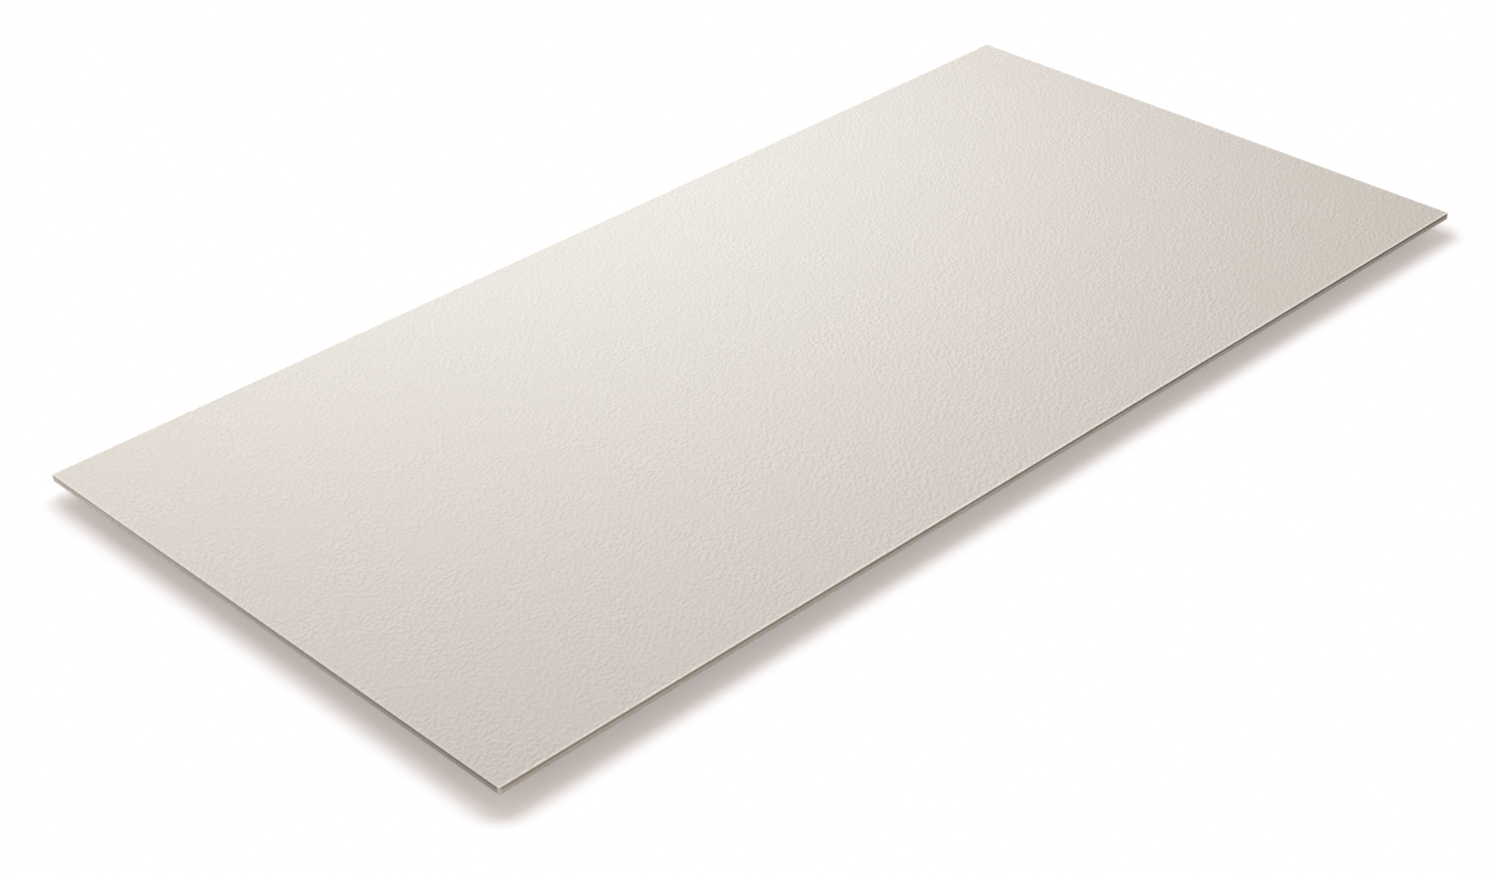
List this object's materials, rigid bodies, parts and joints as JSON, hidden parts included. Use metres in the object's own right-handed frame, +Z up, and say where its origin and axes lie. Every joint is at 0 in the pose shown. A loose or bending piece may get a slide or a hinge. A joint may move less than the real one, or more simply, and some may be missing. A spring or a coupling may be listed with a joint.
{
  "type": "cement board",
  "caption": "Flat rectangular fibre-cement sheet with a finely stippled finished face and square, lightly eased edges, for lining or cladding a framed wall or floor.",
  "frame": {"origin": "middle of the back face, which the sheet lies on", "axes": "+X along the sheet's length, +Y across its width, +Z up out of the finished face"},
  "size_m": [2.4384, 1.2192, 0.0127],
  "materials": {
    "fibre_cement": "matte"
  },
  "bodies": {
    "root": {"cement_board": "fibre_cement"}
  },
  "joints": []
}
